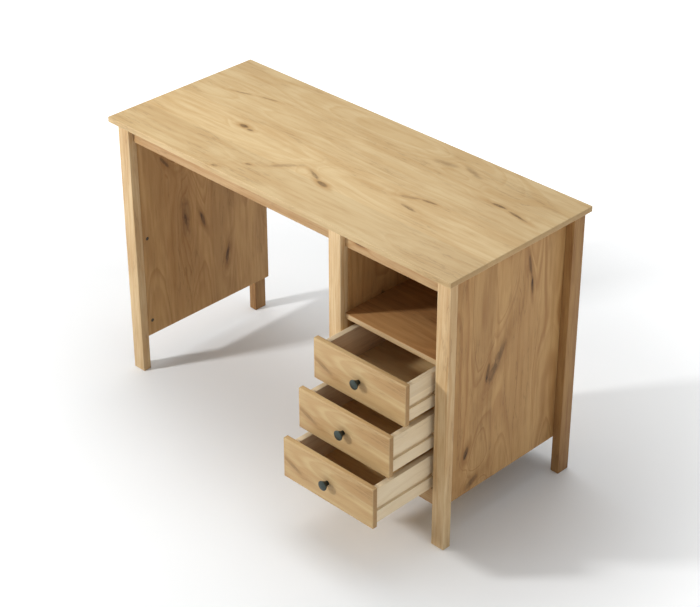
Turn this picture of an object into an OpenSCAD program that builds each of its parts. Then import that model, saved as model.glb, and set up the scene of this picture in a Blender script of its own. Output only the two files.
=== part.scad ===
// Single-pedestal writing desk in knotty pine. Three drawers on wooden runners stand
// under an open compartment on the right, and the knee space is on the left.
// X runs to the right, Y to the back and Z up. The origin is on the floor, under the
// middle of the box that holds the whole desk with its drawers standing open.

/* [Overall size] */
// Width of the desktop
desk_w = 1190; // [992:1:1428]
// Depth of the desktop
desk_d = 500; // [416:1:600]
// Height from the floor to the upper face of the desktop
desk_h = 770; // [700:1:924]

/* [Desktop] */
// Thickness of the desktop
desktop_t = 15; // [13:0.5:22]
// How far the desktop stands out past the legs at each side
side_overhang = 15; // [0:1:40]
// How far the desktop stands out past the front legs
front_overhang = 19; // [0:1:40]
// How far the desktop stands out past the rear legs
back_overhang = 5; // [5:1:30]

/* [Legs and panels] */
// Broad side of a leg
leg_broad = 40; // [34:1:60]
// Narrow side of a leg
leg_narrow = 25; // [20:1:32]
// Thickness of the side panels and the partition
panel_t = 15; // [13:0.5:20]
// Height of the panels' lower edges above the floor
foot_gap = 105; // [60:1:140]
// Thickness of the pedestal's back board
back_board_t = 3; // [2:0.5:4]

/* [Aprons, rail and shelf] */
// Height of the aprons under the desktop
apron_h = 50; // [40:1:70]
// Thickness of the aprons and the lower rail
rail_t = 15; // [12:0.5:20]
// Height of the rail under the lowest drawer
rail_h = 45; // [36:1:60]
// Thickness of the shelf above the drawers
shelf_t = 15; // [13:0.5:20]

/* [Drawer fronts] */
// Width of a drawer front
front_w = 300; // [250:1:360]
// Height of a drawer front
front_h = 114; // [95:1:125]
// Thickness of a drawer front
front_t = 15; // [13:0.5:20]
// Gap between a closed front and the leg beside it
front_side_gap = 4; // [2:0.5:6]
// Gap between two closed fronts
front_gap = 4.5; // [2:0.5:8]
// Gap between the fronts and the shelf, and between the fronts and the lower rail
front_end_gap = 2.5; // [1:0.5:5]

/* [Drawer boxes] */
// Thickness of the drawer sides and backs
box_t = 15; // [13:0.5:18]
// How far a side stands in from the end of its front
side_inset = 11; // [6:1:20]
// How far the top of the box lies below the top of the front
box_drop = 15; // [8:1:25]
// How far the bottom of the box lies above the bottom of the front
box_lift = 1; // [0:0.5:4]
// Free depth behind a closed drawer
box_rear_gap = 41; // [20:1:60]
// Thickness of the drawer bottoms
bottom_t = 4; // [3:0.5:6]
// Height of the bottom board above the lower edge of the box
bottom_up = 8; // [6:0.5:12]
// Depth of the groove that holds the bottom board
bottom_groove = 6; // [4:0.5:8]
// Play of the bottom board in its groove
bottom_play = 0.2; // [0.1:0.1:0.5]

/* [Runners] */
// Height of the groove in a drawer side
runner_groove_h = 12; // [10:0.5:16]
// Depth of the groove in a drawer side
runner_groove_depth = 7; // [5:0.5:8]
// Height of the groove's middle above the lower edge of the side
runner_groove_up = 39; // [34:0.5:46]
// Play between a runner and its groove, above, below and beside it
runner_play = 0.5; // [0.3:0.1:1]
// Space between the runner's front end and a closed front
runner_stop_gap = 2; // [1:0.5:5]
// Space between the runner's rear end and the back board
runner_rear_gap = 19; // [10:1:40]

/* [Knobs] */
// Diameter of the knob's rim
knob_d = 26; // [20:0.5:34]
// Diameter of the knob's neck
knob_neck_d = 12; // [9:0.5:14]
// How far the knob stands out from its front
knob_out = 19; // [15:0.5:32]
// Thickness of the knob's rim
knob_rim_t = 3; // [2:0.5:5]

/* [Drawer openings] */
// How far the top drawer stands open
open_top = 95; // [0:1:300]
// How far the middle drawer stands open
open_middle = 147; // [0:1:300]
// How far the bottom drawer stands open
open_bottom = 200; // [0:1:300]

/* [Dowels] */
// Diameter of the dowels in panels, shelf and drawers
dowel_d = 8; // [6:0.5:9]
// Diameter of the dowels in aprons and rail
slim_dowel_d = 6; // [5:0.5:7]
// Length of a dowel
dowel_len = 30; // [24:1:34]
// Depth to which a dowel enters the board that it is pushed into
dowel_bite = 10; // [8:0.5:11]
// Radial clearance of a dowel in its hole
dowel_play = 0.05; // [0.02:0.01:0.1]
// Free space past each end of a dowel
dowel_end_gap = 1; // [0.5:0.5:2]

/* [Metal parts] */
// Diameter of the wood screws
screw_d = 3.5; // [3:0.5:4.5]
// Diameter of the wood screws' heads
screw_head_d = 7; // [6:0.5:8]
// Depth to which the runners' wood screws enter the panel behind
screw_bite = 11; // [8:0.5:12]
// Diameter of the machine screw in a knob
knob_screw_d = 4; // [3:0.5:5]
// Depth to which that screw enters the knob
knob_screw_bite = 10; // [7:0.5:12]
// Clearance of a knob screw in the drawer front, in diameter
knob_hole_play = 0.6; // [0.3:0.1:1]
// Length of each arm of a top bracket
bracket_arm = 25; // [20:1:30]
// Width of a top bracket
bracket_w = 16; // [12:1:24]
// Thickness of a top bracket
bracket_t = 2; // [1.5:0.5:3]
// Diameter of the cam locks that pull the front legs onto the panels
cam_d = 10; // [8:0.5:12]
// Depth of a cam lock in its panel
cam_depth = 11; // [10:0.5:11.5]
// Distance of a cam lock's middle behind the front leg
cam_in = 16; // [14:0.5:20]
// Height of the lowest cam lock above the panel's lower edge
low_cam_up = 44; // [38:1:60]
// Height of the middle cam lock above the panel's lower edge
middle_cam_up = 301; // [240:1:320]
// Distance of the highest cam lock below the desktop
high_cam_down = 44; // [38:1:48]
// Diameter of the bolts that the cam locks grip
cam_bolt_d = 5; // [4:0.5:6]
// Depth to which a cam bolt enters its leg
cam_bolt_bite = 10; // [8:0.5:12]
// Diameter of the back board's nails
nail_d = 1.6; // [1.2:0.1:2]
// Length of the back board's nails
nail_len = 22; // [16:1:25]

/* [Hidden] */
$fn = 48;
levels = ["top", "middle", "bottom"];
open_by = [open_top, open_middle, open_bottom];
ends = ["left", "middle", "right"];
sides = ["left", "right"];
drawer_pieces = ["front", "left_side", "right_side", "back", "bottom_board", "knob", "knob_screw", "dowels"];
carcass_pieces = ["desktop", "knee_apron", "pedestal_apron", "rear_apron", "shelf", "lower_rail",
                  "back_board", "leg_dowels", "rail_dowels", "shelf_dowels", "desktop_dowels",
                  "cam_locks", "cam_bolts", "rear_leg_dowels", "runner_screws", "top_brackets",
                  "bracket_screws", "back_board_nails"];

// Heights
under_top = desk_h - desktop_t;
pitch = front_h + front_gap;
lowest_front_z = foot_gap + rail_h + front_end_gap;
shelf_z = lowest_front_z + len(levels) * pitch - front_gap + front_end_gap;
apron_z = under_top - apron_h;

// Depths: the rearmost face is the desktop's edge and the foremost is the longest-reaching
// of the desktop's front edge and the knobs
reach = max(front_overhang, max(open_by) + knob_out);
back_y = (desk_d - front_overhang + reach) / 2;
desktop_y = back_y - desk_d;
leg_front_y = desktop_y + front_overhang;
leg_back_y = back_y - back_overhang;
panel_y = leg_front_y + leg_narrow;
rail_y = leg_front_y + front_t;
panel_depth = leg_back_y - panel_y;
inside_depth = leg_back_y - rail_y;

// Widths: each end frame has one flush inner face
inner_x = desk_w / 2 - side_overhang - leg_broad;
pedestal_w = front_w + 2 * front_side_gap;
partition_x = inner_x - pedestal_w;
stile_x = partition_x - leg_broad;
pedestal_mid = inner_x - pedestal_w / 2;

// Drawer box, measured from the middle of its front, the front's back face and its lower edge
box_w = front_w - 2 * side_inset;
box_len = inside_depth - box_rear_gap;
box_h = front_h - box_drop - box_lift;
box_in_w = box_w - 2 * box_t;
bottom_z = box_lift + bottom_up;
drawer_groove_z = box_lift + runner_groove_up - runner_groove_h / 2;
box_dowel_zs = [(bottom_z + bottom_t + drawer_groove_z) / 2,
                (drawer_groove_z + runner_groove_h + box_lift + box_h) / 2];

// Runners
runner_w = front_side_gap + side_inset + runner_groove_depth - runner_play;
runner_h = runner_groove_h - 2 * runner_play;
runner_len = inside_depth - runner_stop_gap - runner_rear_gap;
runner_screw_ys = [50, runner_len / 2, runner_len - 50];

// Hardware
cam_zs = [foot_gap + low_cam_up, foot_gap + middle_cam_up, under_top - high_cam_down];
cam_sink = 0.3;
cam_bolt_head_d = 6.4;
screw_play = 0.05;
screw_sink = 0.3;
head_h = (screw_head_d - screw_d) / 2;
nail_head_d = 3.6;
nail_head_h = 0.8;
knob_head_d = 8.5;
knob_head_h = 2.5;
bracket_screw_len = bracket_t + 9;
bracket_screw_out = 16;
cut = 0.1;

function end_panel_name(end) = end == "middle" ? "partition_panel" : str(end, "_side_panel");
function runner_name(level, side) = str(level, "_", side, "_runner");
function drawer_piece_name(level, piece) = str(level, "_drawer_", piece);
function spread(first, last, count) = [for (i = [0 : count - 1]) first + (last - first) * i / (count - 1)];
function front_z(i) = lowest_front_z + (len(levels) - 1 - i) * pitch;

// Turns +Z towards a direction
module towards(dir) {
  rotate([0, acos(dir.z / norm(dir)), atan2(dir.y, dir.x)]) children();
}

// A chamfered dowel across a joint plane at "place". It enters the receiving board to
// dowel_bite and runs on along "dir". With "play" it is the hole instead.
module dowel(place, dir, d, play = 0) {
  chamfer = 1;
  translate(place) towards(dir)
    if (play > 0)
      translate([0, 0, -dowel_bite - dowel_end_gap])
        cylinder(d = d + 2 * play, h = dowel_len + 2 * dowel_end_gap);
    else
      translate([0, 0, -dowel_bite]) {
        cylinder(d1 = d - 2 * chamfer, d2 = d, h = chamfer);
        translate([0, 0, chamfer]) cylinder(d = d, h = dowel_len - 2 * chamfer);
        translate([0, 0, dowel_len - chamfer]) cylinder(d1 = d, d2 = d - 2 * chamfer, h = chamfer);
      }
}

// A countersunk screw that enters at "place" along "dir". With "play" it is the hole instead.
module screw(place, dir, len, play = 0) {
  lead = play > 0 ? cut : 0;
  translate(place) towards(dir) {
    translate([0, 0, screw_sink]) {
      cylinder(d = screw_d + 2 * play, h = len - screw_sink + play);
      cylinder(d1 = screw_head_d + 2 * play, d2 = screw_d + 2 * play, h = head_h);
    }
    if (play > 0) translate([0, 0, -lead]) cylinder(d = screw_head_d + 2 * play, h = screw_sink + 2 * lead);
  }
}

// Places an end frame that is drawn with its flush inner face on X = 0 and its leg at +X
module at_end(end) {
  if (end == "right") translate([inner_x, 0, 0]) children();
  if (end == "left") translate([-inner_x, 0, 0]) mirror([1, 0, 0]) children();
  if (end == "middle") translate([partition_x, 0, 0]) mirror([1, 0, 0]) children();
}

// ---- Dowels, screws and nails: each set also cuts its own holes when it is given a play ----

// Two dowels between each cam lock and the next
module leg_dowel_set(play = 0) {
  for (end = ends) at_end(end)
    for (i = [0 : len(cam_zs) - 2]) for (share = [1 / 3, 2 / 3])
      dowel([panel_t / 2, panel_y, cam_zs[i] + (cam_zs[i + 1] - cam_zs[i]) * share],
            [0, 1, 0], dowel_d, play);
}

module rail_dowel_set(play = 0) {
  rail_dowel_y = (rail_y + panel_y) / 2;
  rear_dowel_y = leg_back_y - rail_t / 2;
  for (z = [apron_z + 18, under_top - 12]) {
    dowel([-inner_x, rail_dowel_y, z], [1, 0, 0], slim_dowel_d, play);
    dowel([stile_x, rail_dowel_y, z], [-1, 0, 0], slim_dowel_d, play);
    dowel([partition_x, rail_dowel_y, z], [1, 0, 0], slim_dowel_d, play);
    dowel([inner_x, rail_dowel_y, z], [-1, 0, 0], slim_dowel_d, play);
    dowel([-inner_x, rear_dowel_y, z], [1, 0, 0], slim_dowel_d, play);
    dowel([stile_x, rear_dowel_y, z], [-1, 0, 0], slim_dowel_d, play);
  }
  for (z = [foot_gap + 12, foot_gap + rail_h - 14]) {
    dowel([partition_x, rail_dowel_y, z], [1, 0, 0], slim_dowel_d, play);
    dowel([inner_x, rail_dowel_y, z], [-1, 0, 0], slim_dowel_d, play);
  }
}

module shelf_dowel_set(play = 0) {
  for (y = spread(panel_y + 50, leg_back_y - 60, 3)) {
    dowel([partition_x, y, shelf_z + shelf_t / 2], [1, 0, 0], dowel_d, play);
    dowel([inner_x, y, shelf_z + shelf_t / 2], [-1, 0, 0], dowel_d, play);
  }
}

module desktop_dowel_set(play = 0) {
  for (end = ends) at_end(end)
    for (y = spread(panel_y + 40, leg_back_y - 70, 3))
      dowel([panel_t / 2, y, under_top], [0, 0, -1], dowel_d, play);
}

// The bolts reach from the legs into the middle of the cam locks
module cam_bolt_set(play = 0) {
  for (end = ends) at_end(end) for (z = cam_zs)
    translate([panel_t / 2, panel_y, z]) towards([0, 1, 0]) {
      translate([0, 0, -cam_bolt_bite - play]) cylinder(d = cam_bolt_d + 2 * play, h = cam_bolt_bite + cam_in);
      if (play > 0) cylinder(d = cam_bolt_head_d + 2 * play, h = cam_in + cut);
      else translate([0, 0, cam_in - 3]) cylinder(d = cam_bolt_head_d, h = 3);
    }
}

// The round locks in the flush faces, or with "play" the pockets that hold them
module cam_lock_set(play = 0) {
  for (end = ends) at_end(end) for (z = cam_zs)
    translate([play > 0 ? -cut : cam_sink, panel_y + cam_in, z]) towards([1, 0, 0])
      cylinder(d = cam_d + 2 * play, h = play > 0 ? cam_depth + cam_sink + cut : cam_depth);
}

module rear_leg_dowel_set(play = 0) {
  for (end = ends) at_end(end)
    for (z = spread(foot_gap + 60, under_top - 95, 4))
      dowel([panel_t, leg_back_y - leg_broad / 2, z], [1, 0, 0], dowel_d, play);
}

module runner_screw_set(play = 0) {
  for (i = [0 : len(levels) - 1]) for (y = runner_screw_ys) {
    z = front_z(i) + box_lift + runner_groove_up;
    y_here = rail_y + runner_stop_gap + y;
    screw([partition_x + runner_w, y_here, z], [-1, 0, 0], runner_w + screw_bite, play);
    screw([inner_x - runner_w, y_here, z], [1, 0, 0], runner_w + screw_bite, play);
  }
}

// Calls its children at each top bracket: in the corner under the desktop, with +X
// pointing away from the board that the bracket's other arm is screwed to
module at_brackets() {
  panel_ys = [panel_y + 85, leg_back_y - 115];
  apron_mid = (stile_x - inner_x) / 2;
  for (y = panel_ys) {
    translate([-inner_x, y, under_top]) children();
    translate([partition_x - panel_t, y, under_top]) rotate([0, 0, 180]) children();
    translate([inner_x, y, under_top]) rotate([0, 0, 180]) children();
  }
  translate([apron_mid, rail_y + rail_t, under_top]) rotate([0, 0, 90]) children();
  translate([pedestal_mid, rail_y + rail_t, under_top]) rotate([0, 0, 90]) children();
  translate([apron_mid, leg_back_y - rail_t, under_top]) rotate([0, 0, -90]) children();
}

module bracket_screw_set(play = 0) {
  at_brackets() {
    screw([bracket_screw_out, 0, -bracket_t], [0, 0, 1], bracket_screw_len, play);
    screw([bracket_t, 0, -bracket_screw_out], [-1, 0, 0], bracket_screw_len, play);
  }
}

module nail(place, play = 0) {
  translate(place) towards([0, -1, 0]) {
    translate([0, 0, -back_board_t]) cylinder(d = nail_d + 2 * play, h = nail_len + play);
    if (play == 0) translate([0, 0, -back_board_t - nail_head_h]) cylinder(d = nail_head_d, h = nail_head_h);
  }
}

module nail_set(play = 0) {
  for (z = spread(foot_gap + 25, under_top - 60, 5)) {
    nail([partition_x - panel_t / 2, leg_back_y, z], play);
    nail([inner_x + panel_t / 2, leg_back_y, z], play);
  }
  for (x = spread(partition_x + 60, inner_x - 60, 3))
    nail([x, leg_back_y, shelf_z + shelf_t / 2], play);
}

// ---- Carcass ----

module desktop() {
  color("burlywood") difference() {
    translate([-desk_w / 2, desktop_y, under_top]) cube([desk_w, desk_d, desktop_t]);
    desktop_dowel_set(dowel_play);
    bracket_screw_set(screw_play);
  }
}

module front_leg(end) {
  color("tan") difference() {
    at_end(end) translate([0, leg_front_y, 0]) cube([leg_broad, leg_narrow, under_top]);
    leg_dowel_set(dowel_play);
    rail_dowel_set(dowel_play);
    cam_bolt_set(screw_play);
  }
}

module rear_leg(end) {
  color("peru") difference() {
    at_end(end) translate([panel_t, leg_back_y - leg_broad, 0])
      cube([leg_broad - panel_t, leg_broad, under_top]);
    rear_leg_dowel_set(dowel_play);
    rail_dowel_set(dowel_play);
  }
}

module end_panel(end) {
  color("sandybrown") difference() {
    at_end(end) translate([0, panel_y, foot_gap]) cube([panel_t, panel_depth, under_top - foot_gap]);
    leg_dowel_set(dowel_play);
    rail_dowel_set(dowel_play);
    shelf_dowel_set(dowel_play);
    desktop_dowel_set(dowel_play);
    cam_bolt_set(screw_play);
    cam_lock_set(screw_play);
    rear_leg_dowel_set(dowel_play);
    runner_screw_set(screw_play);
    bracket_screw_set(screw_play);
    nail_set(screw_play);
  }
}

module apron(from_x, to_x, y) {
  color("burlywood") difference() {
    translate([from_x, y, apron_z]) cube([to_x - from_x, rail_t, apron_h]);
    rail_dowel_set(dowel_play);
    bracket_screw_set(screw_play);
  }
}

module knee_apron() {
  apron(-inner_x, stile_x, rail_y);
}

module pedestal_apron() {
  apron(partition_x, inner_x, rail_y);
}

module rear_apron() {
  apron(-inner_x, stile_x, leg_back_y - rail_t);
}

module shelf() {
  color("burlywood") difference() {
    translate([partition_x, rail_y, shelf_z]) cube([pedestal_w, inside_depth, shelf_t]);
    shelf_dowel_set(dowel_play);
    nail_set(screw_play);
  }
}

module lower_rail() {
  color("burlywood") difference() {
    translate([partition_x, rail_y, foot_gap]) cube([pedestal_w, rail_t, rail_h]);
    rail_dowel_set(dowel_play);
  }
}

module back_board() {
  edge = 1;
  color("wheat") difference() {
    translate([partition_x - panel_t + edge, leg_back_y, foot_gap])
      cube([pedestal_w + 2 * (panel_t - edge), back_board_t, under_top - foot_gap]);
    nail_set(screw_play);
  }
}

module leg_dowels() {
  color("moccasin") leg_dowel_set();
}

module rail_dowels() {
  color("moccasin") rail_dowel_set();
}

module shelf_dowels() {
  color("moccasin") shelf_dowel_set();
}

module desktop_dowels() {
  color("moccasin") desktop_dowel_set();
}

module cam_locks() {
  slot_w = 1.5;
  color("darkgray") difference() {
    cam_lock_set();
    cam_bolt_set(screw_play);
    for (end = ends) at_end(end) for (z = cam_zs)
      translate([0, panel_y + cam_in - cam_d / 3, z - slot_w / 2]) cube([2, cam_d * 2 / 3, slot_w]);
  }
}

module cam_bolts() {
  color("silver") cam_bolt_set();
}

module rear_leg_dowels() {
  color("moccasin") rear_leg_dowel_set();
}

module runner_screws() {
  color("silver") runner_screw_set();
}

module bracket_screws() {
  color("silver") bracket_screw_set();
}

module back_board_nails() {
  color("silver") nail_set();
}

module top_brackets() {
  color("gainsboro") difference() {
    at_brackets() {
      translate([0, -bracket_w / 2, -bracket_t]) cube([bracket_arm, bracket_w, bracket_t]);
      translate([0, -bracket_w / 2, -bracket_arm]) cube([bracket_t, bracket_w, bracket_arm]);
    }
    bracket_screw_set(screw_play);
  }
}

module runner(i, side) {
  x = side == "left" ? partition_x : inner_x - runner_w;
  color("navajowhite") difference() {
    translate([x, rail_y + runner_stop_gap, front_z(i) + box_lift + runner_groove_up - runner_h / 2])
      cube([runner_w, runner_len, runner_h]);
    runner_screw_set(screw_play);
  }
}

// ---- Drawers: drawn closed around X = 0, with the back face of the front on Y = 0 ----

module at_drawer(i) {
  translate([pedestal_mid, rail_y - open_by[i], front_z(i)]) children();
}

module drawer_dowel_set(play = 0) {
  side_mid = (box_w - box_t) / 2;
  for (x = [-side_mid, side_mid]) for (z = box_dowel_zs)
    dowel([x, 0, z], [0, 1, 0], dowel_d, play);
  for (s = [-1, 1]) for (z = box_dowel_zs)
    dowel([s * box_in_w / 2, box_len - box_t / 2, z], [-s, 0, 0], dowel_d, play);
}

// The bottom board, or with "play" the groove that it slides in
module bottom_shape(play = 0) {
  into = bottom_groove - (play > 0 ? 0 : 0.5);
  back_cut = play > 0 ? cut : 0;
  translate([-box_in_w / 2 - into, -into, bottom_z])
    cube([box_in_w + 2 * into, box_len + into + back_cut, bottom_t + play]);
}

module drawer_front() {
  color("burlywood") difference() {
    translate([-front_w / 2, -front_t, 0]) cube([front_w, front_t, front_h]);
    bottom_shape(bottom_play);
    drawer_dowel_set(dowel_play);
    knob_screw_shape(knob_hole_play / 2);
  }
}

module drawer_side(s) {
  groove_x = box_w / 2 - runner_groove_depth;
  color("wheat") difference() {
    translate([s > 0 ? box_in_w / 2 : -box_w / 2, 0, box_lift]) cube([box_t, box_len, box_h]);
    translate([s > 0 ? groove_x : -box_w / 2 - cut, -cut, drawer_groove_z])
      cube([runner_groove_depth + cut, box_len + 2 * cut, runner_groove_h]);
    bottom_shape(bottom_play);
    drawer_dowel_set(dowel_play);
  }
}

module drawer_back() {
  low = bottom_z + bottom_t + bottom_play;
  color("wheat") difference() {
    translate([-box_in_w / 2, box_len - box_t, low]) cube([box_in_w, box_t, box_lift + box_h - low]);
    drawer_dowel_set(dowel_play);
  }
}

module bottom_board() {
  color("linen") bottom_shape();
}

module drawer_dowels() {
  color("moccasin") drawer_dowel_set();
}

// Trumpet knob: a slim neck on the front that flares to a thin round rim
module knob() {
  steps = 8;
  flare = knob_out - knob_rim_t;
  widen = (knob_d - knob_neck_d) / 2;
  profile = concat(
    [[0, 0]],
    [for (k = [0 : steps]) [knob_neck_d / 2 + widen * (1 - cos(90 * k / steps)), flare * k / steps]],
    [[knob_d / 2, knob_out - 1], [knob_d / 2 - 1, knob_out], [0, knob_out]]);
  color("darkslategray") difference() {
    translate([0, -front_t, front_h / 2]) towards([0, -1, 0]) rotate_extrude() polygon(profile);
    knob_screw_shape(screw_play);
  }
}

module knob_screw_shape(play = 0) {
  tip = play > 0 ? 1 : 0;
  translate([0, 0, front_h / 2]) towards([0, -1, 0]) {
    translate([0, 0, -cut]) cylinder(d = knob_screw_d + 2 * play, h = front_t + knob_screw_bite + tip + cut);
    if (play == 0) translate([0, 0, -knob_head_h]) cylinder(d = knob_head_d, h = knob_head_h);
  }
}

module knob_screw() {
  color("silver") knob_screw_shape();
}

desktop();
knee_apron();
pedestal_apron();
rear_apron();
shelf();
lower_rail();
back_board();
leg_dowels();
rail_dowels();
shelf_dowels();
desktop_dowels();
cam_locks();
cam_bolts();
rear_leg_dowels();
runner_screws();
top_brackets();
bracket_screws();
back_board_nails();
for (end = ends) {
  front_leg(end);
  rear_leg(end);
  end_panel(end);
}
for (i = [0 : len(levels) - 1]) {
  for (side = sides)
    runner(i, side);
  at_drawer(i) {
    drawer_front();
    drawer_side(-1);
    drawer_side(1);
    drawer_back();
    bottom_board();
    knob();
    knob_screw();
    drawer_dowels();
  }
}
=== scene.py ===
"""Straight pine desk with three open drawers: the looks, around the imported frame.

Every board is modelled at the size and place of its CAD node, with eased edges, grooves
and pockets, and rides on the same body. All lengths are in metres."""

import math

import bmesh
import bpy
from mathutils import Matrix, Vector


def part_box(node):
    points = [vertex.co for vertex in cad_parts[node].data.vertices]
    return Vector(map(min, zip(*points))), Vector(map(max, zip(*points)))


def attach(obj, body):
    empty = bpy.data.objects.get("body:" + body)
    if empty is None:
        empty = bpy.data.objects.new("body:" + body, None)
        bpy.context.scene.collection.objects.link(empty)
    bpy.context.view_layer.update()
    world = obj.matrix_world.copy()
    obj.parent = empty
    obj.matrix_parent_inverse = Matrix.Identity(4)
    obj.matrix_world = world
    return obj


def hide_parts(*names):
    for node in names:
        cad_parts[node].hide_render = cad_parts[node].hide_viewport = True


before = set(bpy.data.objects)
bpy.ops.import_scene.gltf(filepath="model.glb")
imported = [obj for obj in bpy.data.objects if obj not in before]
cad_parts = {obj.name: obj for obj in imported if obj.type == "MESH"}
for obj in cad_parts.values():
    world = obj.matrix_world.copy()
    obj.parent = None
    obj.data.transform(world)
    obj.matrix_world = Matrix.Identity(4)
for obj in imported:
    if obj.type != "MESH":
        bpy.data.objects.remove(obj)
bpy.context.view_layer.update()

MM = 0.001
LEVELS = ("top", "middle", "bottom")
SIDES = ("left", "right")
ENDS = ("left", "middle", "right")
PANELS = ("left_side_panel", "partition_panel", "right_side_panel")
AXES = ("X", "Y", "Z")

# Settings that many nodes share: a smooth step between two values, and a mix of two colours
STEP = {"interpolation_type": "SMOOTHSTEP"}
MIX = {"out": 2, "data_type": "RGBA"}


# ---------------------------------------------------------------- camera, lights, floor

def point_at(thing, target, roll=0.0):
    """Turns a camera or lamp so that it looks at a point."""
    thing.rotation_euler = (Vector(target) - thing.location).to_track_quat("-Z", "Y").to_euler()
    thing.rotation_euler.rotate_axis("Z", roll)


def add_camera():
    """Long lens from the front right and above, as a catalogue picture is taken."""
    azimuth = math.radians(44.76)
    elevation = math.radians(31.57)
    distance = 5.010
    target = Vector((0.0, 0.135, 0.337))
    back = Vector((math.sin(azimuth) * math.cos(elevation),
                   -math.cos(azimuth) * math.cos(elevation),
                   math.sin(elevation)))
    data = bpy.data.cameras.new("camera")
    data.sensor_width = 36.0
    data.lens = 99.2
    camera = bpy.data.objects.new("camera", data)
    bpy.context.scene.collection.objects.link(camera)
    camera.location = target + back * distance
    point_at(camera, target, roll=math.radians(-0.085))
    bpy.context.scene.camera = camera


def add_softbox(name, place, target, size, power):
    """A square area lamp, as a studio softbox."""
    data = bpy.data.lights.new(name, "AREA")
    data.shape = "SQUARE"
    data.size = size
    data.energy = power
    lamp = bpy.data.objects.new(name, data)
    bpy.context.scene.collection.objects.link(lamp)
    lamp.location = place
    point_at(lamp, target)


def add_studio():
    """Seamless pale floor, a pale surround that fills the shadows, and the softboxes."""
    deselect()
    bpy.ops.mesh.primitive_plane_add(size=60.0, location=(0, 0, -0.2 * MM))
    floor = bpy.context.object
    floor.name = "studio_floor"
    floor.data.materials.append(floor_paper())

    world = bpy.data.worlds.new("studio")
    bpy.context.scene.world = world
    world.use_nodes = True
    surround = world.node_tree.nodes["Background"]
    surround.inputs["Color"].default_value = (*linear("#FFFFFF"), 1.0)
    surround.inputs["Strength"].default_value = 0.29

    middle = (0.0, 0.1, 0.4)
    add_softbox("key_softbox", (-2.05, -3.0, 2.1), middle, 0.36, 103.0)
    add_softbox("overhead_softbox", (-0.4, 0.5, 3.4), middle, 2.6, 70.0)
    add_softbox("right_softbox", (2.3, 0.5, 3.1), middle, 1.8, 7.0)
    add_softbox("low_reflector", (2.1, -0.6, 0.6), (0.55, 0.0, 0.15), 0.9, 3.2)
    bpy.context.scene.view_settings.view_transform = "Standard"


# ---------------------------------------------------------------- material helpers

def linear(code):
    """An sRGB hex colour as linear red, green and blue."""
    parts = [int(code[i:i + 2], 16) / 255 for i in (1, 3, 5)]
    return tuple(c / 12.92 if c <= 0.04045 else ((c + 0.055) / 1.055) ** 2.4 for c in parts)


def new_material(name):
    """A material with one Principled shader, and that shader."""
    material = bpy.data.materials.new(name)
    material.use_nodes = True
    return material, material.node_tree.nodes["Principled BSDF"]


def add(material, kind, wires=(), out=0, **settings):
    """Adds a shader node with its settings, fills or links its inputs, and gives one output.

    wires holds the inputs in order, or by number or name. Each is a number, a vector, a
    hex colour or another node's output."""
    node = material.node_tree.nodes.new("ShaderNode" + kind)
    for name, value in settings.items():
        setattr(node, name, value)
    for place, value in wires.items() if isinstance(wires, dict) else enumerate(wires):
        socket = node.inputs[place]
        if isinstance(value, bpy.types.NodeSocket):
            material.node_tree.links.new(value, socket)
        else:
            socket.default_value = (*linear(value), 1.0) if isinstance(value, str) else value
    return node.outputs[out]


def feed(material, shader, **sources):
    """Links outputs to the shader's sockets, named with _ for each space."""
    for name, source in sources.items():
        material.node_tree.links.new(source, shader.inputs[name.replace("_", " ")])


def floor_paper():
    """Seamless background paper: matt, near white, with a faint cloudiness and a painted glow past the desk.
    """
    material, shader = new_material("seamless_paper")
    where = add(material, "TexCoord", out="Object")
    cloud = add(material, "TexNoise", {"Vector": where, "Scale": 1.5, "Detail": 3.0})
    colour = add(material, "Mix", {0: cloud, 6: "#EEF0F1", 7: "#F5F7F8"}, **MIX)
    shader.inputs["Roughness"].default_value = 0.85
    shader.inputs["Specular IOR Level"].default_value = 0.2

    # Past the desk the paper glows, sooner on the right, so that it fades into white: painted light from an
    # emission ramp, not a lamp
    from_left = add(material, "Mapping", [where, (0.12, 0.12, 0.0)])
    away = add(material, "VectorMath", [from_left], "Value", operation="LENGTH")
    near_glow = add(material, "MapRange", [away, 0.9, 1.9, 0.0, 0.5], **STEP)
    far_glow = add(material, "MapRange", [away, 2.0, 7.0, 0.0, 0.5], **STEP)
    glow = add(material, "Math", [near_glow, far_glow], operation="ADD")
    shader.inputs["Emission Color"].default_value = (*linear("#FFFFFF"), 1.0)
    feed(material, shader, Base_Color=colour, Emission_Strength=glow)
    return material


# ---------------------------------------------------------------- wood

# How far apart the year rings are: real ones are 2 to 4 mm, which is too fine to show
RING = 8.5 * MM

# Patterns drawn out along the grain: length and width of a spot in mm, detail, roughness and
# shift. They are the sway of the rings, the torn outline of knots, broad clouds, streaks of
# heartwood, thin dark veins, and fibres, which are drawn coarse enough to show
GRAIN_PATTERNS = {
    "sway": (330, 62, 3.0, 0.50, 0.0),
    "torn": (38, 17, 4.0, 0.62, 0.0),
    "cloud": (310, 71, 4.0, 0.60, 5.0),
    "streak": (170, 12.5, 5.0, 0.66, 9.0),
    "vein": (290, 29, 4.0, 0.60, 14.0),
    "fibre": (29, 1.1, 2.0, 0.50, 2.0),
}
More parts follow.
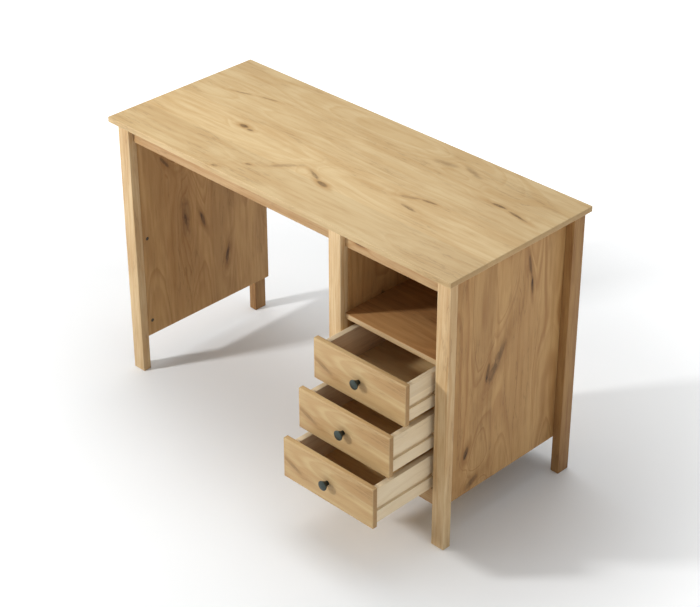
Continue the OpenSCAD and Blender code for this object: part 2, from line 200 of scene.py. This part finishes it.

# Early wood, late wood, heartwood and knot of each board. The first seven are pine under
# brown wax, palest on the desktop and front legs. The rest are the drawers' inner faces and
# plywood bottoms, made paler with painted light for the shade inside the drawers, their bare pine, and beech
DESKTOP_PINE = ("#CBB286", "#B7945F", "#AD8855", "#4C3820")
LEG_PINE = ("#D3B98F", "#BD935F", "#B08653", "#654328")
DRAWER_PINE = ("#C0A578", "#AC8452", "#9F7748", "#4A3018")
PANEL_PINE = ("#BC9561", "#9A6C3A", "#936839", "#33200F")
# Rear legs: darker than the front legs, painted shade for their seen faces, which lie in shade
REAR_LEG_PINE = ("#A8814F", "#8A5D2E", "#7E532A", "#492A16")
SHELF_PINE = ("#C1925D", "#9E6A38", "#915F33", "#542F18")
APRON_PINE = ("#B99A70", "#A57B4A", "#996F41", "#57361D")
# Drawers' inner faces: paler than the outer raw pine, painted light for the shade inside the drawers
LINING_WITH_PAINTED_LIGHT = ("#EBD2B2", "#DDBF9B", "#D6B690", "#8A6A4E")
# Plywood bottoms: their own pale tone, raised further with painted light for the shade inside the drawers
PLYWOOD_WITH_PAINTED_LIGHT = ("#ECCB91", "#DDB47B", "#D6AC73", "#86634A")
RAW_PINE = ("#E0CEAF", "#CFB68D", "#CFB58B", "#917350")
BEECH = ("#CBAE86", "#BA9870", "#B5946C", "#806242")

# Knots and resin marks, from one end to the other on the board: along and across the grain
# at the start, the same at the end, half the width, and how dark it is
DESKTOP_MARKS = (
    (0.280, 0.210, 0.300, 0.210, 0.008, 1.0), (0.310, 0.205, 0.325, 0.205, 0.006, 0.6),
    (0.105, 0.330, 0.175, 0.350, 0.004, 0.45), (0.185, 0.355, 0.255, 0.370, 0.004, 0.45),
    (0.490, 0.100, 0.555, 0.165, 0.010, 0.30), (0.585, 0.160, 0.640, 0.135, 0.006, 0.6),
    (0.640, 0.132, 0.670, 0.126, 0.008, 0.95), (0.445, 0.072, 0.460, 0.076, 0.005, 0.6),
    (0.388, 0.009, 0.402, 0.013, 0.007, 0.5), (1.005, 0.345, 1.060, 0.345, 0.006, 0.75),
    (1.060, 0.342, 1.132, 0.330, 0.005, 0.7), (0.825, 0.216, 0.880, 0.240, 0.007, 0.4),
    (0.880, 0.240, 0.925, 0.246, 0.005, 0.65), (0.865, 0.190, 0.910, 0.184, 0.006, 0.6),
    (0.765, 0.412, 0.830, 0.423, 0.012, 0.3), (0.845, 0.440, 0.915, 0.415, 0.010, 0.35))
PANEL_MARKS = {
    "left_side_panel": (
        (0.380, 0.150, 0.255, 0.155, 0.020, 0.35), (0.330, 0.148, 0.285, 0.156, 0.007, 0.8),
        (0.310, 0.204, 0.262, 0.220, 0.006, 0.85), (0.165, 0.303, 0.112, 0.293, 0.008, 0.8),
        (0.527, 0.072, 0.478, 0.107, 0.006, 0.6)),
    "partition_panel": ((0.420, 0.120, 0.400, 0.120, 0.012, 0.6),),
    "right_side_panel": (
        (0.385, 0.203, 0.275, 0.142, 0.016, 0.60), (0.350, 0.150, 0.285, 0.138, 0.006, 0.9),
        (0.385, 0.205, 0.335, 0.190, 0.003, 0.6), (0.590, 0.279, 0.530, 0.290, 0.004, 0.9),
        (0.530, 0.292, 0.478, 0.297, 0.005, 0.9), (0.132, 0.080, 0.105, 0.070, 0.009, 0.95),
        (0.031, 0.113, 0.016, 0.085, 0.012, 0.6)),
}
APRON_MARKS = {"pedestal_apron": ((0.034, 0.026, 0.056, 0.024, 0.007, 0.95),)}
FRONT_MARKS = ((0.002, 0.058, 0.060, 0.036, 0.007, 0.5),)


def pine(name, grain, across, node, wood, marks=(), strip=95 * MM, seed=0.0, rings=1.0, streaks=1.0):
    """Planed and waxed pine, as a solid texture cut from glued strips: pale early wood, darker
    late rings in flames, brown heartwood streaks, and a soft sheen broken up by the fibres.

    grain and across are the axes that the grain runs along and that the strips lie side
    by side on. The pattern starts at the node's lowest corner. strip is a strip's width, and
    rings and streaks scale how strongly the year rings and the streaks show."""
    early, late, heart, knot_brown = wood
    material, shader = new_material(name)
    coordinates = add(material, "TexCoord").node.outputs
    corner = tuple(-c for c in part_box(node)[0])
    split = add(material, "SeparateXYZ", [add(material, "Mapping", [coordinates["Object"], corner])])
    depth = next(axis for axis in AXES if axis not in (grain, across))
    u, v, w = (split.node.outputs[axis] for axis in (grain, across, depth))
    in_board = add(material, "CombineXYZ", [u, v, w])

    pattern = {}
    for key, (long, wide, detail, roughness, shift) in GRAIN_PATTERNS.items():
        scale = (1 / (long * MM), 1 / (wide * MM), 1 / (wide * MM))
        at = add(material, "Mapping", {"Vector": in_board, "Location": (shift, seed, shift), "Scale": scale})
        pattern[key] = add(material, "TexNoise", {"Vector": at, "Scale": 1.0, "Detail": detail,
                                                  "Roughness": roughness})

    # Each glued strip comes from another tree, so it has its own tone and its own pith
    in_strips = add(material, "Math", [v, strip], operation="DIVIDE")
    strip_of = add(material, "Math", [in_strips], operation="FLOOR")
    within = add(material, "Math", [in_strips], operation="FRACT")
    tree = add(material, "Math", [strip_of, seed + 0.37], operation="ADD")
    by_strip = add(material, "TexWhiteNoise", {"W": tree}, "Color", noise_dimensions="1D")
    tone_chance, pith_chance, ring_chance = add(material, "SeparateColor", [by_strip]).node.outputs

    # Slow drift of the tree's axis along the board, which draws the flames
    slow = add(material, "Math", [u, 1.3], operation="MULTIPLY")
    apart = add(material, "Math", [strip_of, 3.1], operation="MULTIPLY")
    drift_at = add(material, "CombineXYZ", [slow, apart, seed])
    drift = add(material, "TexNoise", {"Vector": drift_at, "Scale": 1.0, "Detail": 2.0,
                                       "Roughness": 0.4}, "Color")
    side_drift, deep_drift, _ = add(material, "SeparateColor", [drift]).node.outputs
    side = add(material, "Math", [side_drift, 80 * MM, -40 * MM - strip / 2], operation="MULTIPLY_ADD")
    side = add(material, "Math", [within, strip, side], operation="MULTIPLY_ADD")
    below = add(material, "Math", [w, -30 * MM], operation="ADD")
    below = add(material, "Math", [pith_chance, 60 * MM, below], operation="MULTIPLY_ADD")
    below = add(material, "Math", [deep_drift, 120 * MM, below], operation="MULTIPLY_ADD")
    from_pith = add(material, "CombineXYZ", [side, below])
    radius = add(material, "VectorMath", [from_pith], "Value", operation="LENGTH")
    bend = add(material, "Math", [pattern["sway"], 12 * MM, -6 * MM], operation="MULTIPLY_ADD")
    radius = add(material, "Math", [radius, bend], operation="ADD")

    # Knots and resin marks push the rings aside. Each is torn at its outline, stains the
    # wood round it and is darkest in broken patches along its middle
    face = add(material, "CombineXYZ", [u, v])
    rough = add(material, "Math", [pattern["torn"], 0.5], operation="SUBTRACT")
    core = stain = 0.0
    for start_u, start_v, end_u, end_v, half_width, strength in marks:
        centre = ((start_u + end_u) / 2, (start_v + end_v) / 2, 0.0)
        turn = (0.0, 0.0, math.atan2(end_v - start_v, end_u - start_u))
        half_length = math.hypot(end_u - start_u, end_v - start_v) / 2 + half_width
        spread = (half_length, half_width, 1.0)
        on_mark = add(material, "Mapping", [face, centre, turn, spread], vector_type="TEXTURE")
        far = add(material, "VectorMath", [on_mark], "Value", operation="LENGTH")
        push = add(material, "MapRange", [far, 0.0, 4.0, half_width * 1.5, 0.0], **STEP)
        radius = add(material, "Math", [radius, push], operation="ADD")
        torn = add(material, "Math", [rough, 2.0, far], operation="MULTIPLY_ADD")
        own_core = add(material, "MapRange", [torn, 0.35, 1.05, strength, 0.0], **STEP)
        own_stain = add(material, "MapRange", [torn, 0.5, 2.6, strength * 0.9, 0.0], **STEP)
        core = add(material, "Math", [core, own_core], operation="MAXIMUM")
        stain = add(material, "Math", [stain, own_stain], operation="MAXIMUM")

    # Rings that differ in width, each with pale early wood and a darker late edge
    in_years = add(material, "Math", [radius, 1 / (14 * MM), seed], operation="MULTIPLY_ADD")
    years = add(material, "TexNoise", {"W": in_years, "Scale": 1.0, "Detail": 1.0}, noise_dimensions="1D")
    uneven = add(material, "Math", [years, 2.2], operation="MULTIPLY")
    counted = add(material, "Math", [radius, 1 / RING, uneven], operation="MULTIPLY_ADD")
    season = add(material, "Math", [counted], operation="FRACT")
    late_wood = add(material, "MapRange", [season, 0.1, 0.8], **STEP)
    late_end = add(material, "MapRange", [season, 0.82, 1.0, 1.0, 0.0], **STEP)
    good_year = add(material, "MapRange", [years, 0.35, 0.62, 0.25, 1.0], **STEP)
    late_wood = add(material, "Math", [late_wood, late_end], operation="MULTIPLY")
    late_wood = add(material, "Math", [late_wood, good_year], operation="MULTIPLY")

    ring_share = add(material, "Math", [ring_chance, 0.30, 0.45 * rings], operation="MULTIPLY_ADD")
    ring_share = add(material, "Math", [late_wood, ring_share], operation="MULTIPLY")
    colour = add(material, "Mix", {0: ring_share, 6: early, 7: late}, **MIX)
    streak = add(material, "MapRange", [pattern["streak"], 0.42, 0.70, 0.0, 0.55 * streaks], **STEP)
    colour = add(material, "Mix", {0: streak, 6: colour, 7: heart}, **MIX)
    cloud = add(material, "MapRange", [pattern["cloud"], 0.40, 0.66, 0.0, 0.50 * streaks], **STEP)
    colour = add(material, "Mix", {0: cloud, 6: colour, 7: heart}, **MIX)
    vein = add(material, "Math", [pattern["vein"], 0.5], operation="SUBTRACT")
    vein = add(material, "Math", [vein], operation="ABSOLUTE")
    vein = add(material, "MapRange", [vein, 0.0, 0.022, 0.30 * streaks, 0.0], **STEP)
    where_veined = add(material, "MapRange", [pattern["cloud"], 0.46, 0.62], **STEP)
    vein = add(material, "Math", [vein, where_veined], operation="MULTIPLY")
    colour = add(material, "Mix", {0: vein, 6: colour, 7: knot_brown}, **MIX)

    # End grain soaks up more stain, so it is darker
    normal = add(material, "SeparateXYZ", [coordinates["Normal"]], grain)
    end_grain = add(material, "Math", [normal], operation="ABSOLUTE")
    end_grain = add(material, "MapRange", [end_grain, 0.75, 0.97, 0.0, 0.6], **STEP)
    colour = add(material, "Mix", {0: end_grain, 6: colour, 7: heart}, **MIX)
    tone = add(material, "Math", [tone_chance, 0.12, 0.87], operation="MULTIPLY_ADD")
    tone = add(material, "Math", [pattern["fibre"], 0.12, tone], operation="MULTIPLY_ADD")
    tone = add(material, "Math", [end_grain, -0.16, tone], operation="MULTIPLY_ADD")
    grey = add(material, "CombineColor", [tone, tone, tone])
    colour = add(material, "Mix", {0: 1.0, 6: colour, 7: grey}, blend_type="MULTIPLY", **MIX)
    if marks:
        patchy = add(material, "MapRange", [rough, -0.10, 0.03, 0.55, 1.0], **STEP)
        core = add(material, "Math", [core, patchy], operation="MULTIPLY")
        colour = add(material, "Mix", {0: stain, 6: colour, 7: heart}, **MIX)
        colour = add(material, "Mix", {0: core, 6: colour, 7: knot_brown}, **MIX)

    # The eased edges are mixed a little paler: wear, and a painted highlight along the rounded edge
    eased = add(material, "Attribute", out="Fac", attribute_name="eased")
    wear_and_highlight = add(material, "Math", [eased, 0.30], operation="MULTIPLY")
    colour = add(material, "Mix", {0: wear_and_highlight, 6: colour, 7: early}, **MIX)

    # Wax over open grain: late wood is smoother, and the fibres break up the sheen
    gloss = add(material, "Math", [late_wood, -0.08, 0.52], operation="MULTIPLY_ADD")
    gloss = add(material, "Math", [pattern["streak"], 0.10, gloss], operation="MULTIPLY_ADD")
    gloss = add(material, "Math", [pattern["fibre"], 0.10, gloss], operation="MULTIPLY_ADD")
    fibres = add(material, "Math", [pattern["fibre"], 0.35], operation="MULTIPLY")
    height = add(material, "Math", [late_wood, 0.5, fibres], operation="MULTIPLY_ADD")
    relief = add(material, "Bump", {"Strength": 0.2, "Distance": 0.4 * MM, "Height": height})
    shader.inputs["Specular IOR Level"].default_value = 0.35
    feed(material, shader, Base_Color=colour, Roughness=gloss, Normal=relief)
    return material


# ---------------------------------------------------------------- metals

def zinc():
    """Bright zinc plating on steel: a cool, slightly cloudy grey with a soft gloss."""
    material, shader = new_material("zinc_plated_steel")
    where = add(material, "TexCoord", out="Object")
    cloud = add(material, "TexNoise", {"Vector": where, "Scale": 1 / (2.4 * MM), "Detail": 4.0})
    colour = add(material, "Mix", {0: cloud, 6: "#A9AAA8", 7: "#C6C7C4"}, **MIX)
    gloss = add(material, "Math", [cloud, 0.2, 0.25], operation="MULTIPLY_ADD")
    shader.inputs["Metallic"].default_value = 1.0
    feed(material, shader, Base_Color=colour, Roughness=gloss)
    return material


def cam_zinc():
    """Dull zinc casting, darker than plated steel, with a grainy skin."""
    material, shader = new_material("cam_lock_zinc")
    where = add(material, "TexCoord", out="Object")
    grains = add(material, "TexNoise", {"Vector": where, "Scale": 1 / (1.1 * MM), "Detail": 3.0})
    colour = add(material, "Mix", {0: grains, 6: "#3F3A34", 7: "#5B554C"}, **MIX)
    gloss = add(material, "Math", [grains, 0.15, 0.42], operation="MULTIPLY_ADD")
    shader.inputs["Metallic"].default_value = 0.8
    feed(material, shader, Base_Color=colour, Roughness=gloss)
    return material


def gunmetal():
    """Dark lacquer over a cast zinc knob: blue-green black, its rim mixed paler for wear and a painted
    highlight.
    """
    material, shader = new_material("gunmetal_lacquer")
    where = add(material, "TexCoord", out="Object")
    cloud = add(material, "TexNoise", {"Vector": where, "Scale": 1 / (6 * MM), "Detail": 4.0})
    colour = add(material, "Mix", {0: cloud, 6: "#181E1C", 7: "#2E3632"}, **MIX)
    # The rim's faces, noted as eased, are mixed paler: wear and a painted highlight
    eased = add(material, "Attribute", out="Fac", attribute_name="eased")
    wear_and_highlight = add(material, "Math", [eased, 0.25], operation="MULTIPLY")
    colour = add(material, "Mix", {0: wear_and_highlight, 6: colour, 7: "#66716B"}, **MIX)
    gloss = add(material, "Math", [cloud, 0.15, 0.32], operation="MULTIPLY_ADD")
    relief = add(material, "Bump", {"Strength": 0.15, "Distance": 0.2 * MM, "Height": cloud})
    shader.inputs["Metallic"].default_value = 0.7
    feed(material, shader, Base_Color=colour, Roughness=gloss, Normal=relief)
    return material


# ---------------------------------------------------------------- modelling helpers

def deselect():
    """Leaves nothing selected and nothing active."""
    if bpy.context.object is not None and bpy.context.object.mode != "OBJECT":
        bpy.ops.object.mode_set(mode="OBJECT")
    bpy.ops.object.select_all(action="DESELECT")


def pick(piece):
    """Selects one piece and makes it active."""
    deselect()
    piece.select_set(True)
    bpy.context.view_layer.objects.active = piece


def name_and_settle(name):
    """Names the new primitive and moves its place into its mesh."""
    piece = bpy.context.object
    piece.name = piece.data.name = name
    bpy.ops.object.transform_apply(location=True, rotation=True, scale=True)
    return piece


def block(name, low, high):
    """A plain block between two corners. It is the start of a piece or a cutter."""
    deselect()
    low, high = Vector(low), Vector(high)
    bpy.ops.mesh.primitive_cube_add(size=1.0, location=(low + high) / 2, scale=high - low)
    return name_and_settle(name)


def rod(name, centre, radius, length, axis, sides=32):
    """A plain round rod along an axis. It is the start of a piece or a cutter."""
    deselect()
    turn = {"X": (0, math.pi / 2, 0), "Y": (math.pi / 2, 0, 0)}[axis]
    bpy.ops.mesh.primitive_cylinder_add(vertices=sides, radius=radius, depth=length,
                                        location=centre, rotation=turn)
    return name_and_settle(name)


def apply_modifier(piece, kind, **settings):
    """Adds a modifier with its settings and applies it."""
    pick(piece)
    modifier = piece.modifiers.new(kind.lower(), kind)
    for key, value in settings.items():
        setattr(modifier, key, value)
    bpy.ops.object.modifier_apply(modifier=modifier.name)


def note_eased(piece, is_eased):
    """Notes on each face whether it is part of an eased edge."""
    flag = piece.data.attributes.new("eased", "FLOAT", "FACE")
    for face in piece.data.polygons:
        flag.data[face.index].value = float(is_eased(face))


def shape_board(node, ease=1.2 * MM, cutters=()):
    """A board that fills its CAD node's box, with its cuts made and its edges sanded round."""
    piece = block(node + "_board", *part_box(node))
    for cutter in cutters:
        apply_modifier(piece, "BOOLEAN", operation="DIFFERENCE", solver="EXACT", object=cutter)
        bpy.data.objects.remove(cutter)
    apply_modifier(piece, "BEVEL", width=ease, segments=3, limit_method="ANGLE",
                   angle_limit=math.radians(40))
    note_eased(piece, lambda face: max(abs(c) for c in face.normal) < 0.999)
    pick(piece)
    bpy.ops.object.shade_smooth_by_angle(angle=math.radians(35))
    return piece


def second_finish(piece, way):
    """Marks the faces that look one way for the piece's second material."""
    for face in piece.data.polygons:
        if face.normal.dot(Vector(way)) > 0.999:
            face.material_index = 1


def copies(piece, nodes):
    """The piece, made for the first node, and a copy with its own mesh for each other node."""
    made = [piece]
    for node in nodes[1:]:
        copy = piece.copy()
        copy.data = piece.data.copy()
        copy.name = copy.data.name = piece.name.replace(nodes[0], node)
        copy.data.transform(Matrix.Translation(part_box(node)[0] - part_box(nodes[0])[0]))
        bpy.context.scene.collection.objects.link(copy)
        made.append(copy)
    return made


def finish_piece(piece, body, node, slot, *materials):
    """Gives a piece its finish and sets it on its body in place of its CAD node."""
    for material in materials:
        piece.data.materials.append(material)
    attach(piece, body)
    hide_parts(node)


def centres(values, apart):
    """The middles of the groups that values fall into, with groups further apart than that."""
    groups = []
    for value in sorted(values):
        if groups and value - groups[-1][-1] < apart:
            groups[-1].append(value)
        else:
            groups.append([value])
    return [(group[0] + group[-1]) / 2 for group in groups]


# ---------------------------------------------------------------- carcass

def cam_pockets(flush):
    """Cutters for the round pockets that hold a panel's cam locks, from its inner face."""
    low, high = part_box("cam_locks")
    middle = (low.y + high.y) / 2
    radius = 5.2 * MM
    depth = 11.5 * MM
    lock_heights = centres((v.co.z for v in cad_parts["cam_locks"].data.vertices), 30 * MM)
    return [rod("pocket", (flush, middle, z), radius, 2 * depth, "X") for z in lock_heights]


def make_legs():
    """Three alike front legs, and three alike rear legs turned the other way."""
    for row, across, wood, seed in (("front", "X", LEG_PINE, 11.0), ("rear", "Y", REAR_LEG_PINE, 12.0)):
        nodes = [f"{end}_{row}_leg" for end in ENDS]
        legs = copies(shape_board(nodes[0], 1.5 * MM), nodes)
        for number, (node, leg) in enumerate(zip(nodes, legs)):
            own_seed = seed + 3 * number
            finish_piece(leg, "carcass", node, "waxed_pine",
                         pine("pine_" + node, "Z", across, node, wood, strip=200 * MM, seed=own_seed))


def make_panels():
    """The left panel and the partition are alike, and the right one has its pockets on its left."""
    left, partition, right = PANELS
    pair = copies(shape_board(left, 0.8 * MM, cam_pockets(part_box(left)[1].x)), (left, partition))
    mirrored = shape_board(right, 0.8 * MM, cam_pockets(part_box(right)[0].x))
    for node, panel, seed in zip(PANELS, (*pair, mirrored), (21.0, 25.0, 29.0)):
        finish_piece(panel, "carcass", node, "waxed_pine",
                     pine("pine_" + node, "Z", "Y", node, PANEL_PINE, PANEL_MARKS[node],
                          strip=82.4 * MM, seed=seed, streaks=0.75))


def make_flats():
    """Desktop, aprons, lower rail, shelf and plywood back."""
    finish_piece(shape_board("desktop", 1.5 * MM), "carcass", "desktop", "waxed_pine",
                 pine("pine_desktop", "X", "Y", "desktop", DESKTOP_PINE, DESKTOP_MARKS,
                      strip=125 * MM, seed=3.0, rings=0.6, streaks=0.7))
    for node, seed in (("knee_apron", 31.0), ("pedestal_apron", 33.0),
                       ("rear_apron", 35.0), ("lower_rail", 37.0)):
        finish_piece(shape_board(node, 1.0 * MM), "carcass", node, "waxed_pine",
                     pine("pine_" + node, "X", "Z", node, APRON_PINE, APRON_MARKS.get(node, ()),
                          strip=200 * MM, seed=seed))

    shelf = shape_board("shelf", 1.0 * MM)
    second_finish(shelf, (0, -1, 0))
    finish_piece(shelf, "carcass", "shelf", "waxed_pine",
                 pine("pine_shelf", "X", "Y", "shelf", SHELF_PINE,
                      strip=90 * MM, seed=41.0, rings=0.7, streaks=0.8),
                 pine("pine_lipping", "X", "Z", "shelf", LEG_PINE, strip=200 * MM, seed=42.0))
    finish_piece(shape_board("back_board", 0.4 * MM), "carcass", "back_board", "back_plywood",
                 pine("pine_plywood_back", "Z", "X", "back_board", PANEL_PINE, strip=500 * MM, seed=43.0))


def make_runners():
    """Six alike beech runners, two to each drawer."""
    nodes = [f"{level}_{side}_runner" for level in LEVELS for side in SIDES]
    beech = pine("beech_runner", "Y", "X", nodes[0], BEECH,
                 strip=500 * MM, seed=45.0, rings=0.4, streaks=0.5)
    for node, runner in zip(nodes, copies(shape_board(nodes[0], 0.8 * MM), nodes)):
        finish_piece(runner, "carcass", node, "beech", beech)


# ---------------------------------------------------------------- drawers

def turn_knob(node):
    """Trumpet knob: a slim neck that flares to a thin, softly rounded rim."""
    low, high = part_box(node)
    centre = (low + high) / 2
    rim = (high.x - low.x) / 2
    length = high.y - low.y
    neck = 6.0 * MM
    rim_edge = 3.0 * MM
    steps = 9
    piece = rod(node + "_turned", centre, neck, length, "Y", 48)

    # Distance from the foot, and radius there: a quarter of a cosine, then the rounded rim
    flare = length - rim_edge
    stations = [(flare * k / steps, rim - (rim - neck) * math.cos(math.pi / 2 * k / steps))
                for k in range(steps + 1)]
    stations += [(length - 1.2 * MM, rim), (length, rim - 1.6 * MM)]
    bpy.ops.object.mode_set(mode="EDIT")
    for along, _ in stations[1:-1]:
        bpy.ops.mesh.select_all(action="SELECT")
        bpy.ops.mesh.bisect(plane_co=(centre.x, high.y - along, centre.z), plane_no=(0, 1, 0))
    for along, radius in stations:
        bpy.ops.mesh.select_all(action="DESELECT")
        mesh = bmesh.from_edit_mesh(piece.data)
        for vertex in mesh.verts:
            vertex.select = abs(vertex.co.y - (high.y - along)) < 0.01 * MM
        mesh.select_flush(True)
        bmesh.update_edit_mesh(piece.data)
        share = radius / neck
        bpy.ops.transform.resize(value=(share, 1, share),
                                 center_override=(centre.x, high.y - along, centre.z))
    bpy.ops.object.mode_set(mode="OBJECT")
    note_eased(piece, lambda face: face.center.y < low.y + rim_edge)
    pick(piece)
    bpy.ops.object.shade_smooth_by_angle(angle=math.radians(50))
    return piece


def make_drawers():
    """Three alike drawers: eased front, grooved sides, back, bottom board and knob."""
    first = LEVELS[0] + "_drawer_"
    floor_low, floor_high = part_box(first + "bottom_board")
    slack = 0.1 * MM  # round the bottom board in its groove
    play = 0.5 * MM  # over and under a runner
    runner_depth = 7 * MM
    past_end = 5 * MM
    groove_low = (floor_low.x - slack, floor_low.y - slack, floor_low.z)
    groove_high = (floor_high.x + slack, floor_high.y + past_end, floor_high.z + 2 * slack)

    raw = pine("raw_pine_box", "Y", "Z", "bottom_drawer_left_side", RAW_PINE,
               strip=300 * MM, seed=61.0, rings=0.5, streaks=0.5)
    # The inner faces get their own paler pine: painted light that brightens the shade inside the drawers
    lining = pine("stained_lining", "Y", "Z", "bottom_drawer_left_side", LINING_WITH_PAINTED_LIGHT,
                  strip=300 * MM, seed=62.0)
    # The bottom board's plywood is made paler with painted light, besides its own pale tone
    ply = pine("brown_plywood", "X", "Y", "bottom_drawer_bottom_board", PLYWOOD_WITH_PAINTED_LIGHT,
               strip=600 * MM, seed=63.0)
    lacquer = gunmetal()

    front = shape_board(first + "front", 2.0 * MM, [block("floor_groove", groove_low, groove_high)])
    made = {"front": (front, "waxed_pine", ())}
    for side, inwards in (("left", 1), ("right", -1)):
        side_low, side_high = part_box(f"{first}{side}_side")
        run_low, run_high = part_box(f"{LEVELS[0]}_{side}_runner")
        outer = side_low.x if side == "left" else side_high.x
        cutters = [block("runner_groove", (outer - runner_depth, side_low.y - MM, run_low.z - play),
                         (outer + runner_depth, side_high.y + MM, run_high.z + play)),
                   block("floor_groove", groove_low, groove_high)]
        piece = shape_board(f"{first}{side}_side", 0.8 * MM, cutters)
        second_finish(piece, (inwards, 0, 0))
        made[side + "_side"] = (piece, "raw_pine", (raw, lining))
    back = shape_board(first + "back", 0.8 * MM)
    second_finish(back, (0, -1, 0))
    made["back"] = (back, "raw_pine", (raw, lining))
    made["bottom_board"] = (shape_board(first + "bottom_board", 0.3 * MM), "drawer_plywood", (ply,))
    made["knob"] = (turn_knob(first + "knob"), "gunmetal", (lacquer,))

    for part, (piece, slot, materials) in made.items():
        nodes = [f"{level}_drawer_{part}" for level in LEVELS]
        for level, node, copy in zip(LEVELS, nodes, copies(piece, nodes)):
            if part == "front":
                materials = (pine("pine_" + node, "X", "Z", node, DRAWER_PINE, FRONT_MARKS,
                                  strip=58 * MM, seed=51.0, rings=0.7, streaks=0.7),)
            finish_piece(copy, level + "_drawer", node, slot, *materials)


def dress_hardware():
    """The CAD hardware keeps its own shape and gets its finish."""
    plated = zinc()
    cast = cam_zinc()
    beech = pine("beech_dowel", "X", "Y", "leg_dowels", BEECH,
                 strip=500 * MM, seed=65.0, rings=0.4, streaks=0.4)
    for name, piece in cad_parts.items():
        if piece.hide_render:
            continue
        material = plated
        if "dowels" in name:
            material = beech
        if name == "cam_locks":
            material = cast
        piece.data.materials.clear()
        piece.data.materials.append(material)
        pick(piece)
        bpy.ops.object.shade_smooth_by_angle(angle=math.radians(35))


add_camera()
add_studio()
make_flats()
make_legs()
make_panels()
make_runners()
make_drawers()
dress_hardware()
deselect()
